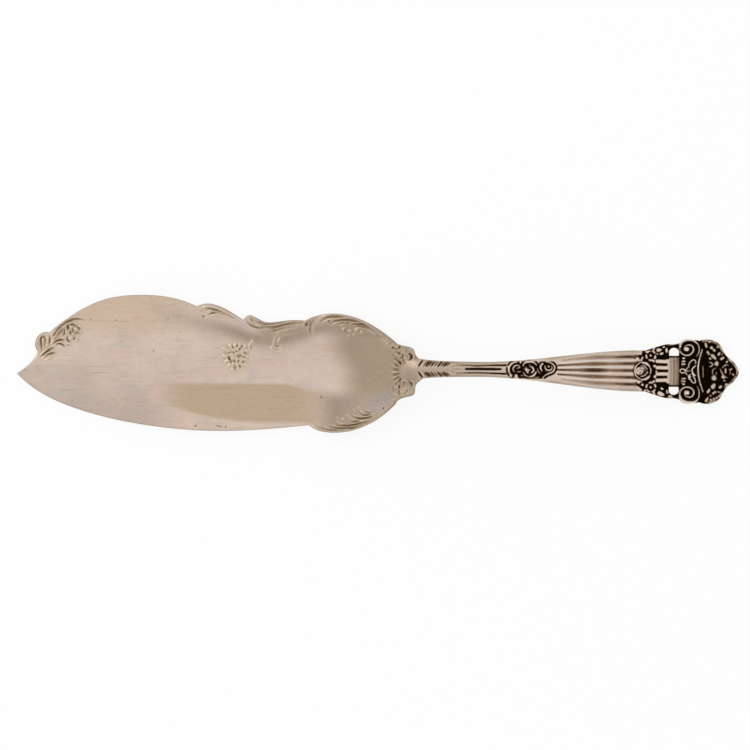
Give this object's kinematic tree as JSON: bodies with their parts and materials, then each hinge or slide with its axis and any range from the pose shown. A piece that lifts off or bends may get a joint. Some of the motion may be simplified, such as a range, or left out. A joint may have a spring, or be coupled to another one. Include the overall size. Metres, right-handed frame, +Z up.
{
  "type": "jelly knife",
  "caption": "Silver jelly server with a broad dished blade, an arched stem and a fluted column handle under a scrolled capital.",
  "frame": {"origin": "on the flat of the blade's belly, under the handle's axis, where the knife rests", "axes": "+X from the blade to the handle's end, +Y towards the turned-up back of the blade, +Z up"},
  "size_m": [0.2102, 0.0396, 0.0137],
  "materials": {
    "silver": "worn bright silver, warm and slightly tarnished, with near-black oxidised recesses in the carving"
  },
  "bodies": {
    "root": {"jelly_knife": "silver"}
  },
  "joints": []
}
